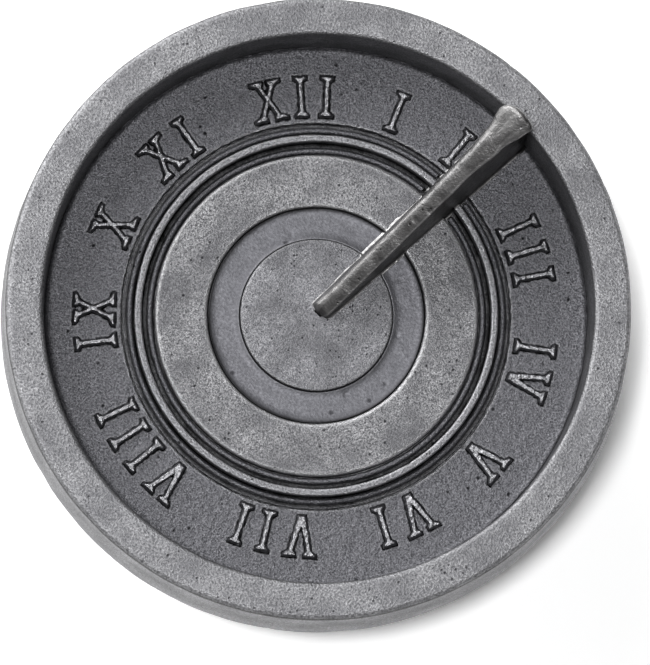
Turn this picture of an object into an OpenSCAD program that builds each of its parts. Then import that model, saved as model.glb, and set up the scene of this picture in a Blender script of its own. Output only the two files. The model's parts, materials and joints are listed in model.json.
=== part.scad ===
// A small round sundial charm: a shallow cast dish with a broad rim, an hour ring with
// twelve raised numerals, a ring moulding with two beads, a stepped centre and a sloping
// gnomon, all in antiqued metal, on a soft push-in stud. Lengths are millimetres.
// The dial faces +Z. The object stands on the end of its stud, and the origin is the
// centre of that end. Heights in the dial modules are measured from the back of the dish.

/* [Dish] */
// Diameter of the dish at its back
dish_d = 25; // [21:0.5:34]
// Height of the rim above the back
dish_h = 3.9; // [3:0.1:6]
// Lean of the outer side, degrees
side_lean = 3.75; // [0:0.25:8]
// Width of the rim where its top meets the side
rim_w = 1.46; // [1:0.02:2]
// Radius of the worn outer edge of the rim
rim_edge_r = 0.22; // [0.05:0.01:0.4]
// Radius of the edge round the back
back_edge_r = 0.2; // [0.05:0.01:0.4]
// Lean of the inner wall, degrees
wall_lean = 1; // [0:0.25:4]
// Thickness of the floor
floor_t = 0.6; // [0.5:0.05:1]

/* [Plates] */
// Width of the hour ring
hour_ring_w = 3.02; // [2.4:0.02:3.4]
// Thickness of the hour ring
hour_ring_t = 0.35; // [0.25:0.01:0.6]
// Height of the concave fillet at the outside of the hour ring
hour_fillet_r = 0.22; // [0.1:0.01:0.4]
// Width of the groove on each side of the moulding's raised ring
groove_w = 0.49; // [0.44:0.01:0.7]
// Width of the raised ring between the grooves
raised_w = 0.3; // [0.2:0.01:0.6]
// Height of the raised ring above the dish's floor
raised_h = 0.86; // [0.6:0.01:1.4]
// Thickness of the web under the grooves
web_t = 0.2; // [0.12:0.01:0.3]
// Width of the middle plate
middle_w = 2.11; // [1.2:0.01:2.4]
// Thickness of the middle plate
middle_t = 0.68; // [0.5:0.01:1]
// Thickness of the hub plate, which is the floor of the recess
hub_t = 0.54; // [0.45:0.01:0.7]
// Width of the recess round the centre disc
recess_w = 1.27; // [0.5:0.01:1.8]
// Thickness of the centre disc
disc_t = 0.17; // [0.1:0.01:0.4]
// Worn edge of the plates and the raised ring
plate_edge = 0.04; // [0.01:0.01:0.08]

/* [Beads] */
// Width of each bead
bead_w = 0.24; // [0.16:0.01:0.3]
// Height of each bead
bead_h = 0.34; // [0.2:0.01:0.5]
// Gap between a bead and the wall inside it
bead_inset = 0.06; // [0.03:0.01:0.1]
// Gap between the end of a bead and the foot of the gnomon
bead_end_gap = 0.08; // [0.04:0.01:0.3]

/* [Numerals] */
// Height of a letter, from its foot to its head
letter_h = 1.65; // [1:0.05:2]
// Gap between a letter's foot and the inner edge of the hour ring
letter_inset = 0.25; // [0.1:0.05:0.5]
// How far the letters stand above the hour ring
relief = 0.24; // [0.1:0.02:0.5]
// Width of a stroke
stroke_w = 0.21; // [0.12:0.01:0.3]
// Width of a serif
serif_w = 0.54; // [0.4:0.02:0.6]
// Thickness of a serif at its end
serif_t = 0.13; // [0.08:0.01:0.2]
// Spread of the two heads of a V
v_spread = 0.82; // [0.6:0.02:0.9]
// Width of the foot of a V
v_foot_w = 0.32; // [0.2:0.01:0.4]
// Height of the crotch of a V above its foot
v_crotch = 0.45; // [0.3:0.05:0.7]
// Spread of the heads of an X
x_head_spread = 0.7; // [0.5:0.02:0.8]
// Spread of the feet of an X
x_foot_spread = 0.82; // [0.5:0.02:0.9]
// Gap between neighbouring letters
letter_gap = 0.48; // [0.3:0.01:0.5]

/* [Gnomon] */
// Direction of the gnomon on the dial, degrees from +X
gnomon_az = 43.2; // [0:0.1:90]
// Slope of the gnomon's style, degrees
gnomon_slope = 29.5; // [15:0.5:40]
// Width of the style
gnomon_w = 0.78; // [0.5:0.01:1]
// Draft of the gnomon's sides, degrees
gnomon_draft = 2.6; // [0:0.1:4]
// Height of the style above the disc at its lower end
tip_h = 0.34; // [0.2:0.01:0.8]
// Distance of the style's lower end from the dial's axis
tip_gap = 0.12; // [0.05:0.01:0.6]
// Width of the flared head
head_w = 1.5; // [0.9:0.01:1.6]
// Length of the flare
head_l = 2.1; // [1:0.05:3]
// Depth of the flare below the style
head_depth = 1.1; // [0.6:0.05:2]
// How far the head leans off the gnomon's middle, towards the later hours
head_shift = 0.06; // [0:0.01:0.2]
// Worn edge of the style
style_edge = 0.1; // [0.02:0.01:0.2]
// Diameter of the pegs under the gnomon
peg_d = 0.8; // [0.5:0.05:1]

/* [Stud] */
// Diameter of the flange against the dish
flange_d = 12; // [9:0.5:16]
// Thickness of the flange
flange_t = 0.8; // [0.5:0.1:1.5]
// Diameter of the neck
neck_d = 7.2; // [6:0.1:8.5]
// Length of the neck between the flange and the head
neck_l = 4.2; // [2:0.1:6]
// Diameter of the head
stud_head_d = 11.2; // [10:0.1:14]
// Thickness of the head
stud_head_t = 2.6; // [2:0.1:4]
// Radius of the head's lower edge
stud_edge_r = 1.2; // [0.6:0.1:1.6]
// Diameter of the pin that joins the stud to the dish
pin_d = 2; // [1.5:0.1:3]
// Diameter of the pin's two heads
pin_head_d = 3.4; // [2.6:0.1:4.4]
// Thickness of the pin's two heads
pin_head_t = 0.28; // [0.2:0.01:0.3]
// Depth of the pin's end in the stud, below the neck's top
pin_depth = 4.6; // [2:0.1:5]

/* [Fits] */
// Clearance between plates that lie side by side
plate_gap = 0.02; // [0.01:0.01:0.05]
// Clearance round the gnomon, its pegs and the pin
joint_gap = 0.02; // [0.01:0.01:0.05]

/* [Hidden] */
plate_names = ["dish", "hour_ring", "moulding_ring", "inner_bead", "outer_bead",
    "middle_plate", "hub_plate", "centre_disc", "gnomon"];
numeral_names = [for (hour = [1:12]) str("numeral_", hour)];

$fn = 96;
eps = 0.01;
arc_steps = 6;

// Direction of each hour's numeral on the dial, from one o'clock, degrees from +X
hour_az = [68.5, 46.7, 17.3, -14, -40.3, -66.6, -100.7, -141.5, -178.2, 156.1, 130.9, 95.9];
words = ["I", "II", "III", "IV", "V", "VI", "VII", "VIII", "IX", "X", "XI", "XII"];

// Height of the dish's back above the end of the stud
back_z = flange_t + neck_l + stud_head_t;

// Radii on the dial, from the wall inwards
cavity_r = dish_d / 2 - dish_h * tan(side_lean) - rim_w;
cavity_foot_r = cavity_r - (dish_h - floor_t) * tan(wall_lean);
hour_out_r = cavity_foot_r - plate_gap;
hour_in_r = hour_out_r - hour_ring_w;
moulding_out_r = hour_in_r - plate_gap;
raised_out_r = hour_in_r - groove_w;
raised_in_r = raised_out_r - raised_w;
middle_out_r = raised_in_r - groove_w;
moulding_in_r = middle_out_r + plate_gap;
middle_in_r = middle_out_r - middle_w;
hub_r = middle_in_r - plate_gap;
disc_r = middle_in_r - recess_w;
outer_bead_r = raised_out_r + bead_inset + bead_w / 2;
inner_bead_r = middle_out_r + bead_inset + bead_w / 2;

// Heights above the back of the dish
hour_z = floor_t + hour_ring_t;
web_z = floor_t + web_t;
hub_z = floor_t + hub_t;
disc_z = hub_z + disc_t;

// The gnomon, as distances along it from the dial's axis
fin_end = cavity_foot_r - joint_gap;
flare_start = fin_end - head_l;
sunk_from = pin_head_d / 2 + 2 * joint_gap;
step_l = 0.1;
end_round = 0.4;
style_sections = 3;
flare_sections = 8;
round_sections = 5;
peg_near = (sunk_from + fin_end) / 2;
peg_far = fin_end - peg_d;

// The letters
foot_r = hour_in_r + letter_inset;
mid_letter_r = foot_r + letter_h / 2;
serif_slope = 0.12;

function arc(x, y, r, from, to) =
    [for (i = [0:arc_steps]) let (a = from + (to - from) * i / arc_steps)
        [x + r * cos(a), y + r * sin(a)]];

// Where an edge's centre lies so that the edge runs smoothly into the leaning side
function edge_x(r, z) = dish_d / 2 - (r + z * sin(side_lean)) / cos(side_lean);

// A ring of rectangular section whose top edges are worn
module plate(in_r, out_r, z, t) {
    rotate_extrude()
        polygon([[in_r, z], [out_r, z], [out_r, z + t - plate_edge],
            [out_r - plate_edge, z + t], [in_r + plate_edge, z + t],
            [in_r, z + t - plate_edge]]);
}

// The space that the gnomon's foot takes in the plates, wider by gap on each side
module fin_slot(gap) {
    near = fin_half(tip_gap, floor_t) + gap;
    far = fin_half(fin_end, floor_t) + gap;
    rotate([0, 0, gnomon_az])
        translate([0, 0, -eps])
            linear_extrude(dish_h)
                polygon([[tip_gap - gap, -near], [fin_end + 1, -far],
                    [fin_end + 1, far], [tip_gap - gap, near]]);
}

module dish() {
    back = edge_x(back_edge_r, back_edge_r);
    rim = edge_x(rim_edge_r, dish_h - rim_edge_r);
    color([0.55, 0.55, 0.56])
        difference() {
            rotate_extrude()
                polygon(concat([[0, 0]],
                    arc(back, back_edge_r, back_edge_r, -90, side_lean),
                    arc(rim, dish_h - rim_edge_r, rim_edge_r, side_lean, 90),
                    [[cavity_r, dish_h], [cavity_foot_r, floor_t], [0, floor_t]]));
            translate([0, 0, -eps])
                cylinder(h = floor_t + 2 * eps, d = pin_d + 2 * joint_gap);
            gnomon_pegs(joint_gap, -eps, floor_t + eps);
        }
}

// The flat ring that carries the numerals, with a concave fillet against the wall
module hour_ring() {
    fillet_x = hour_out_r - hour_fillet_r;
    color([0.42, 0.42, 0.43])
        difference() {
            rotate_extrude()
                polygon(concat([[hour_in_r, floor_t], [hour_out_r, floor_t]],
                    arc(fillet_x, hour_z + hour_fillet_r, hour_fillet_r, 0, -90),
                    [[hour_in_r + plate_edge, hour_z], [hour_in_r, hour_z - plate_edge]]));
            fin_slot(joint_gap);
        }
}

// A web with a raised ring between two grooves
module moulding_ring() {
    color([0.58, 0.58, 0.59])
        difference() {
            union() {
                rotate_extrude()
                    polygon([[moulding_in_r, floor_t], [moulding_out_r, floor_t],
                        [moulding_out_r, web_z], [moulding_in_r, web_z]]);
                plate(raised_in_r, raised_out_r, floor_t, raised_h);
            }
            fin_slot(joint_gap);
        }
}

// A thin round-topped ring that lies in a groove and stops short of the gnomon
module bead(r) {
    top_r = bead_w / 2;
    color([0.5, 0.5, 0.51])
        difference() {
            rotate_extrude()
                translate([r, web_z])
                    polygon(concat([[-top_r, 0], [top_r, 0]],
                        arc(0, bead_h - top_r, top_r, 0, 180)));
            fin_slot(bead_end_gap);
        }
}

module inner_bead() {
    bead(inner_bead_r);
}

module outer_bead() {
    bead(outer_bead_r);
}

module middle_plate() {
    color([0.54, 0.54, 0.55])
        difference() {
            plate(middle_in_r, middle_out_r, floor_t, middle_t);
            fin_slot(joint_gap);
        }
}

// The floor of the recess, hollowed underneath for the head of the pin
module hub_plate() {
    pocket_d = pin_head_d + 2 * joint_gap;
    color([0.48, 0.48, 0.49])
        difference() {
            translate([0, 0, floor_t])
                cylinder(h = hub_t, r = hub_r);
            translate([0, 0, floor_t - eps])
                cylinder(h = pin_head_t + joint_gap + eps, d = pocket_d);
            intersection() {
                fin_slot(joint_gap);
                rotate([0, 0, gnomon_az])
                    translate([sunk_from - joint_gap, -dish_d / 2, 0])
                        cube([dish_d, dish_d, dish_h]);
            }
        }
}

module centre_disc() {
    color([0.56, 0.56, 0.57])
        difference() {
            rotate_extrude()
                polygon([[0, hub_z], [disc_r, hub_z], [disc_r, disc_z - plate_edge],
                    [disc_r - plate_edge, disc_z], [0, disc_z]]);
            fin_slot(joint_gap);
        }
}

// Height of the style at distance x along the gnomon, before its end is rounded
function style_z(x) = disc_z + tip_h + (x - tip_gap) * tan(gnomon_slope);

// Half the width of the straight fin at distance x and height z
function fin_half(x, z) = gnomon_w / 2 + (style_z(x) - z) * tan(gnomon_draft);

// 0 before the flare, and rises smoothly to 1 at the gnomon's end
function flare(x) =
    let (u = min(1, max(0, (x - flare_start) / (head_l - end_round)))) u * u * (3 - 2 * u);

// How far the rounded end has dropped at distance x
function end_drop(x) =
    let (u = max(0, x - (fin_end - end_round)) / end_round) end_round * (1 - sqrt(1 - u * u));

function head_half(x) = gnomon_w / 2 + flare(x) * (head_w - gnomon_w) / 2;

// The gnomon rests on the hub plate at first, and goes down to the dish's floor past the pin
function bottom_z(x) = x > sunk_from ? floor_t : hub_z;

// The right half of a cross-section of the gnomon at distance x, from the foot to the
// style: half the width, the height, and the share of the head's lean at each point
function half_section(x) =
    let (top = style_z(x) - end_drop(x),
        low = max(style_z(x) - head_depth, (style_z(x) + hub_z) / 2),
        half = head_half(x) - end_drop(x), straight = fin_half(x, low))
    [[fin_half(x, bottom_z(x)), bottom_z(x), 0], [straight, low, 0],
        [(straight + 2 * half) / 3, (low + 3 * top) / 4, 0.5],
        [half, top - style_edge, 1], [half - style_edge, top, 1]];

// A whole cross-section, from the foot on the right over the style to the foot on the left
function fin_section(x) =
    let (right = half_section(x), last = len(right) - 1, lean = -head_shift * flare(x))
    concat([for (p = right) [x, lean * p[2] - p[0], p[1]]],
        [for (i = [last:-1:0]) [x, lean * right[i][2] + right[i][0], right[i][1]]]);

stations = concat(
    [tip_gap, sunk_from],
    [for (i = [0:style_sections - 1])
        sunk_from + step_l + (flare_start - sunk_from - step_l) * i / style_sections],
    [for (i = [0:flare_sections]) flare_start + (head_l - end_round) * i / flare_sections],
    [for (i = [1:round_sections]) fin_end - end_round * cos(90 * i / round_sections - 0.01)]);

module fin_solid() {
    sides = len(fin_section(tip_gap));
    last = len(stations) - 1;
    points = [for (x = stations) each fin_section(x)];
    walls = [for (s = [0:last - 1], k = [0:sides - 1])
        let (a = s * sides + k, b = s * sides + (k + 1) % sides)
            each [[a, b, a + sides], [b, b + sides, a + sides]]];
    near = [for (k = [1:sides - 2]) [0, k + 1, k]];
    far = [for (k = [1:sides - 2]) [last * sides, last * sides + k, last * sides + k + 1]];
    polyhedron(points = points, faces = concat(walls, near, far));
}

// The two pegs that hold the gnomon to the dish's floor, from a depth up to a height
module gnomon_pegs(gap, from_z, to_z) {
    rotate([0, 0, gnomon_az])
        for (x = [peg_near, peg_far])
            translate([x, 0, from_z])
                cylinder(h = to_z - from_z, d = peg_d + 2 * gap);
}

module gnomon() {
    color([0.62, 0.62, 0.63])
        union() {
            rotate([0, 0, gnomon_az])
                fin_solid();
            gnomon_pegs(0, 0, hour_z);
        }
}

// The serif at the head of a stroke, from the stroke's right side round to its left,
// where the stroke's middle leans by lean for each millimetre of height
function head_points(x, lean) =
    let (neck = serif_t + serif_slope, mid = x - lean * neck)
        [[mid + stroke_w / 2, letter_h - neck], [x + serif_w / 2, letter_h - serif_t],
            [x + serif_w / 2, letter_h], [x - serif_w / 2, letter_h],
            [x - serif_w / 2, letter_h - serif_t], [mid - stroke_w / 2, letter_h - neck]];

// The serif at the foot of a stroke, from its left side round to its right
function foot_points(x, lean) =
    let (neck = serif_t + serif_slope, mid = x + lean * neck)
        [[mid - stroke_w / 2, neck], [x - serif_w / 2, serif_t], [x - serif_w / 2, 0],
            [x + serif_w / 2, 0], [x + serif_w / 2, serif_t], [mid + stroke_w / 2, neck]];

module letter_i() {
    polygon(concat(foot_points(0, 0), head_points(0, 0)));
}

module letter_v() {
    head_x = v_spread / 2;
    lean = (head_x + stroke_w / 2 - v_foot_w / 2) / letter_h;
    polygon(concat([[-v_foot_w / 2, 0], [v_foot_w / 2, 0]], head_points(head_x, lean),
        [[0, v_crotch]], head_points(-head_x, -lean)));
}

module letter_x() {
    head_x = x_head_spread / 2;
    foot_x = x_foot_spread / 2;
    lean = (head_x + foot_x) / letter_h;
    cross_y = foot_x / lean;
    reach = stroke_w / 2 / lean;
    polygon(concat(foot_points(-foot_x, lean), [[0, cross_y - reach]],
        foot_points(foot_x, -lean), [[stroke_w / 2, cross_y]], head_points(head_x, lean),
        [[0, cross_y + reach]], head_points(-head_x, -lean), [[-stroke_w / 2, cross_y]]));
}

function letter_w(c) =
    c == "I" ? serif_w : (c == "V" ? v_spread : x_head_spread) + serif_w - stroke_w / 2;

// Width of the first count letters of a word and the gaps after them
function run_w(word, count) =
    count == 0 ? 0 : run_w(word, count - 1) + letter_w(word[count - 1]) + letter_gap;

// The letters of one hour, each turned to stand on its own radius of the dial
module numeral(hour) {
    word = words[hour - 1];
    whole = run_w(word, len(word)) - letter_gap;
    color([0.66, 0.66, 0.67])
        difference() {
            for (i = [0:len(word) - 1]) {
                offset_w = run_w(word, i) + letter_w(word[i]) / 2 - whole / 2;
                turn = offset_w / mid_letter_r * 180 / PI;
                rotate([0, 0, hour_az[hour - 1] - turn - 90])
                    translate([0, foot_r, hour_z])
                        linear_extrude(relief)
                            letter(word[i]);
            }
            fin_slot(joint_gap);
        }
}

module letter(c) {
    if (c == "I") letter_i();
    if (c == "V") letter_v();
    if (c == "X") letter_x();
}

// The pin's upper head lies on the dish's floor, and its lower one anchors the stud
module stud_pin() {
    color([0.7, 0.7, 0.68])
        union() {
            translate([0, 0, floor_t])
                cylinder(h = pin_head_t, d = pin_head_d);
            translate([0, 0, -pin_depth])
                cylinder(h = pin_depth + floor_t + eps, d = pin_d);
            translate([0, 0, -pin_depth])
                cylinder(h = pin_head_t, d = pin_head_d);
        }
}

// The soft stud, moulded round the pin
module stud() {
    seat_z = -flange_t;
    head_z = seat_z - neck_l;
    end_z = -back_z;
    head_r = stud_head_d / 2;
    color([0.12, 0.12, 0.13])
        difference() {
            rotate_extrude()
                polygon(concat([[0, 0], [0, end_z]],
                    arc(head_r - stud_edge_r, end_z + stud_edge_r, stud_edge_r, -90, 0),
                    [[head_r, head_z - stud_edge_r / 4], [head_r - stud_edge_r / 4, head_z],
                        [neck_d / 2, head_z], [neck_d / 2, seat_z],
                        [flange_d / 2, seat_z], [flange_d / 2, 0]]));
            translate([0, 0, -pin_depth])
                cylinder(h = pin_depth + eps, d = pin_d + 2 * joint_gap);
            translate([0, 0, -pin_depth - joint_gap])
                cylinder(h = pin_head_t + 2 * joint_gap, d = pin_head_d + 2 * joint_gap);
        }
}

module lifted() {
    translate([0, 0, back_z])
        children();
}

lifted() dish();
lifted() hour_ring();
lifted() moulding_ring();
lifted() inner_bead();
lifted() outer_bead();
lifted() middle_plate();
lifted() hub_plate();
lifted() centre_disc();
lifted() gnomon();
for (hour = [1:12])
    lifted() numeral(hour);
lifted() stud_pin();
lifted() stud();
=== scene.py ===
import json
import math

import bmesh
import bpy
import numpy as np
from mathutils import Matrix, Vector

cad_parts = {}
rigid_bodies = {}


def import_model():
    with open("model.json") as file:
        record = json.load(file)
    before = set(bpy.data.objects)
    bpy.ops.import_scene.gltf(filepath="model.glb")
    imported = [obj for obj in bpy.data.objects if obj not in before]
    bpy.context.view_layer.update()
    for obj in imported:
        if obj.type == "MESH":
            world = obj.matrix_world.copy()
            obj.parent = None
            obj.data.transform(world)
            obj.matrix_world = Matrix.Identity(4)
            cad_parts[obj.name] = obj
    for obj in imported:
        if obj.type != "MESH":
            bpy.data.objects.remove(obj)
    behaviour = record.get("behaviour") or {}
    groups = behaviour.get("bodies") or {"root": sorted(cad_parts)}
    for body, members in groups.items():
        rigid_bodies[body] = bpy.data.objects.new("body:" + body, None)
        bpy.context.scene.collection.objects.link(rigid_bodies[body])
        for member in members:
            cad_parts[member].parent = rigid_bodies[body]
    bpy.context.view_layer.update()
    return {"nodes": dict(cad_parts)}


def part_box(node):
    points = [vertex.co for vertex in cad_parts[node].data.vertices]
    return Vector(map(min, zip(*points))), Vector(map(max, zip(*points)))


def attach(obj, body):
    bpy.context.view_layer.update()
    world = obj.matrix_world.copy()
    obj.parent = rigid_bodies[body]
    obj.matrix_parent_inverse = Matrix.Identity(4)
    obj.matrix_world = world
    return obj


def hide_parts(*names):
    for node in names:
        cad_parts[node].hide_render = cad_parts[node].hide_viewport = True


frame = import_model()
print("frame loaded:", len(frame["nodes"]), "nodes")

# Lengths are in millimetres and angles in degrees, unless a note says otherwise. Meshes are
# made in millimetres too, and are brought to metres when they become pieces.
mm = 0.001


def linear(code):  # an sRGB hex code as the linear colour that a shader takes
    values = []
    for i in (1, 3, 5):
        s = int(code[i:i + 2], 16) / 255
        values.append(s / 12.92 if s <= 0.04045 else ((s + 0.055) / 1.055) ** 2.4)
    return (*values, 1)


def addNode(tree, kind, links=None, **settings):
    node = tree.nodes.new(kind)
    node.location = (len(tree.nodes) * 180, 0)
    for name, value in settings.items():
        setattr(node, name, value)
    for key, source in (links or {}).items():
        if isinstance(source, bpy.types.Node):
            source = source.outputs[0]
        if isinstance(source, bpy.types.NodeSocket):
            tree.links.new(source, node.inputs[key])
        else:
            node.inputs[key].default_value = source
    return node


def newTree(name, inputs):  # an empty tree, and the outputs that hold its inputs
    tree = bpy.data.node_groups.new(name, "GeometryNodeTree")
    tree.interface.new_socket("Geometry", in_out="OUTPUT", socket_type="NodeSocketGeometry")
    for label, kind in inputs.items():
        tree.interface.new_socket(label, in_out="INPUT", socket_type="NodeSocket" + kind)
    return tree, addNode(tree, "NodeGroupInput").outputs


def endTree(tree, shape, material):  # the last three nodes of every tree
    whole = addNode(tree, "GeometryNodeRealizeInstances", {"Geometry": shape})
    painted = addNode(tree, "GeometryNodeSetMaterial", {"Geometry": whole, "Material": material})
    addNode(tree, "NodeGroupOutput", {"Geometry": painted})
    return tree


def newObject(name, data):
    thing = bpy.data.objects.new(name, data)
    bpy.context.scene.collection.objects.link(thing)
    return thing


def bake(thing):  # the object's modifiers as a plain mesh, and the object is gone afterwards
    bpy.context.view_layer.update()
    graph = bpy.context.evaluated_depsgraph_get()
    mesh = bpy.data.meshes.new_from_object(thing.evaluated_get(graph),
                                           preserve_all_data_layers=True, depsgraph=graph)
    bpy.data.objects.remove(thing)
    return mesh


def runTree(tree, mesh, **inputs):  # inputs are the tree's own, with spaces left out
    thing = newObject("working", mesh)
    modifier = thing.modifiers.new(tree.name, "NODES")
    modifier.node_group = tree
    for item in tree.interface.items_tree:
        label = item.name.replace(" ", "")
        if item.in_out == "INPUT" and label in inputs:
            modifier[item.identifier] = inputs[label]
    return bake(thing)


def tidyMesh(mesh):  # doubles merged, then faces turned outwards and shaded smooth
    bm = bmesh.new()
    bm.from_mesh(mesh)
    bmesh.ops.remove_doubles(bm, verts=bm.verts, dist=1e-5)
    bmesh.ops.dissolve_degenerate(bm, edges=bm.edges, dist=1e-6)
    loose = [v for v in bm.verts if not v.link_faces]
    bmesh.ops.delete(bm, geom=loose, context="VERTS")
    bmesh.ops.recalc_face_normals(bm, faces=bm.faces)
    if bm.calc_volume(signed=True) < 0:
        bmesh.ops.reverse_faces(bm, faces=bm.faces)
    for face in bm.faces:
        face.smooth = True
    bm.to_mesh(mesh)
    bm.free()
    return mesh


def meshFrom(bm, name):  # a new mesh, and the working one is gone afterwards
    mesh = bpy.data.meshes.new(name)
    bm.to_mesh(mesh)
    bm.free()
    return mesh


def closeRings(bm, rings):  # faces between rings of points, and a cap at both ends
    count = len(rings[0])
    for a, b in zip(rings, rings[1:]):
        for i in range(count):
            j = (i + 1) % count
            bm.faces.new((a[i], a[j], b[j], b[i]))
    bm.faces.new(rings[0][::-1])
    bm.faces.new(rings[-1])


def setAttribute(mesh, name, values):
    layer = mesh.attributes.get(name) or mesh.attributes.new(name, "FLOAT", "POINT")
    layer.data.foreach_set("value", np.asarray(values, dtype=np.float32))


def getPoints(mesh):
    points = np.empty(len(mesh.vertices) * 3, dtype=np.float32)
    mesh.vertices.foreach_get("co", points)
    return points.reshape(-1, 3)


def addPiece(name, mesh, material, slot, *nodes):
    mesh.transform(Matrix.Scale(mm, 4))
    mesh.name = name
    mesh.materials.clear()
    mesh.materials.append(material)
    piece = newObject(name, mesh)
    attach(piece, "root")
    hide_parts(*nodes)
    print("piece", name, len(mesh.polygons), "faces")
    return piece


def smoothStep(low, high, value):
    t = np.clip((value - low) / (high - low), 0, 1)
    return t * t * (3 - 2 * t)


def cutWith(mesh, cutter):  # mesh less cutter, both closed
    thing = newObject("cutting", mesh)
    tool = newObject("cutter", cutter)
    modifier = thing.modifiers.new("cut", "BOOLEAN")
    modifier.operation = "DIFFERENCE"
    modifier.solver = "EXACT"
    modifier.object = tool
    result = bake(thing)
    bpy.data.objects.remove(tool)
    return result


# Sizes come from the frame, in millimetres.
def outerRadius(node):
    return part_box(node)[1][0] / mm


def topOf(node):
    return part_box(node)[1][2] / mm


def bottomOf(node):
    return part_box(node)[0][2] / mm


gap = 0.02  # clearance between neighbouring plates
radius = {
    "base": outerRadius("dish"),
    "hourOut": outerRadius("hour_ring"),
    "mouldingOut": outerRadius("moulding_ring"),
    "middleOut": outerRadius("middle_plate"),
    "hubOut": outerRadius("hub_plate"),
    "disc": outerRadius("centre_disc"),
    "outerBead": outerRadius("outer_bead"),
    "innerBead": outerRadius("inner_bead"),
}
radius["hourIn"] = radius["mouldingOut"] + gap
radius["middleIn"] = radius["hubOut"] + gap
level = {
    "back": bottomOf("dish"),
    "rim": topOf("dish"),
    "floor": bottomOf("hour_ring"),
    "hour": bottomOf("numeral_1"),
    "web": bottomOf("outer_bead"),
    "raised": topOf("moulding_ring"),
    "middle": topOf("middle_plate"),
    "hub": topOf("hub_plate"),
    "disc": topOf("centre_disc"),
}

cameraSettings = {
    "imageSize": (650, 665),  # pixels
    "pixelsPerMm": 25.62,     # at the height of the rim
    "distance": 250,          # mm
    "tilt": 7.3,              # off the dial's axis
    "side": (-0.34, -0.94),   # the way the camera is moved, across the dial
    "aim": (0.223, -1.007),   # the point of the rim's plane in the middle of the image
    "sensor": 36,
    "clip": (0.01, 10),       # metres
}


def makeCamera(s):
    tilt = math.radians(s["tilt"])
    side = Vector(s["side"]).normalized() * math.sin(tilt)
    back = Vector((side.x, side.y, math.cos(tilt)))
    up = (Vector((0, 1, 0)) - back * back.y).normalized()
    right = up.cross(back)
    place = Vector((*s["aim"], level["rim"])) + back * s["distance"]
    camera = newObject("camera", bpy.data.cameras.new("camera"))
    turn = Matrix((right, up, back)).transposed().to_4x4()
    camera.matrix_world = Matrix.Translation(place * mm) @ turn
    focus = s["pixelsPerMm"] * s["distance"]
    camera.data.sensor_width = s["sensor"]
    camera.data.lens = s["sensor"] * focus / max(s["imageSize"])
    camera.data.clip_start, camera.data.clip_end = s["clip"]
    bpy.context.scene.camera = camera


makeCamera(cameraSettings)
print("camera placed")


def newMaterial(name):
    material = bpy.data.materials.new(name)
    material.use_nodes = True
    material.node_tree.nodes.clear()
    return material, material.node_tree


def makeSurface(tree, colour, height, deep, **inputs):  # the last nodes of metal and PVC
    bump = addNode(tree, "ShaderNodeBump", {
        "Height": height, "Distance": deep * mm, "Strength": 1.0})
    shader = addNode(tree, "ShaderNodeBsdfPrincipled", {
        "Base Color": colour.outputs[2], "Normal": bump, **inputs})
    addNode(tree, "ShaderNodeOutputMaterial", {"Surface": shader})


# What every casting shares.
finish = {
    "grainRough": 0.6,
    "fineGrain": 2.3, "fineShare": 0.35,  # a finer grain that goes over the first
    "cloudRange": (0.35, 0.65), "roughRange": (0.3, 0.7),  # of the noise
    "poreRange": (0.18, 0.42), "poreDeep": 0.5,  # from a pore's middle to its edge
    "rubLevel": 0.65, "rubbedSheen": 0.1,
    "oxideCloud": 0.8,  # how patchy the oxide and the painted shade are
}
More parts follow.
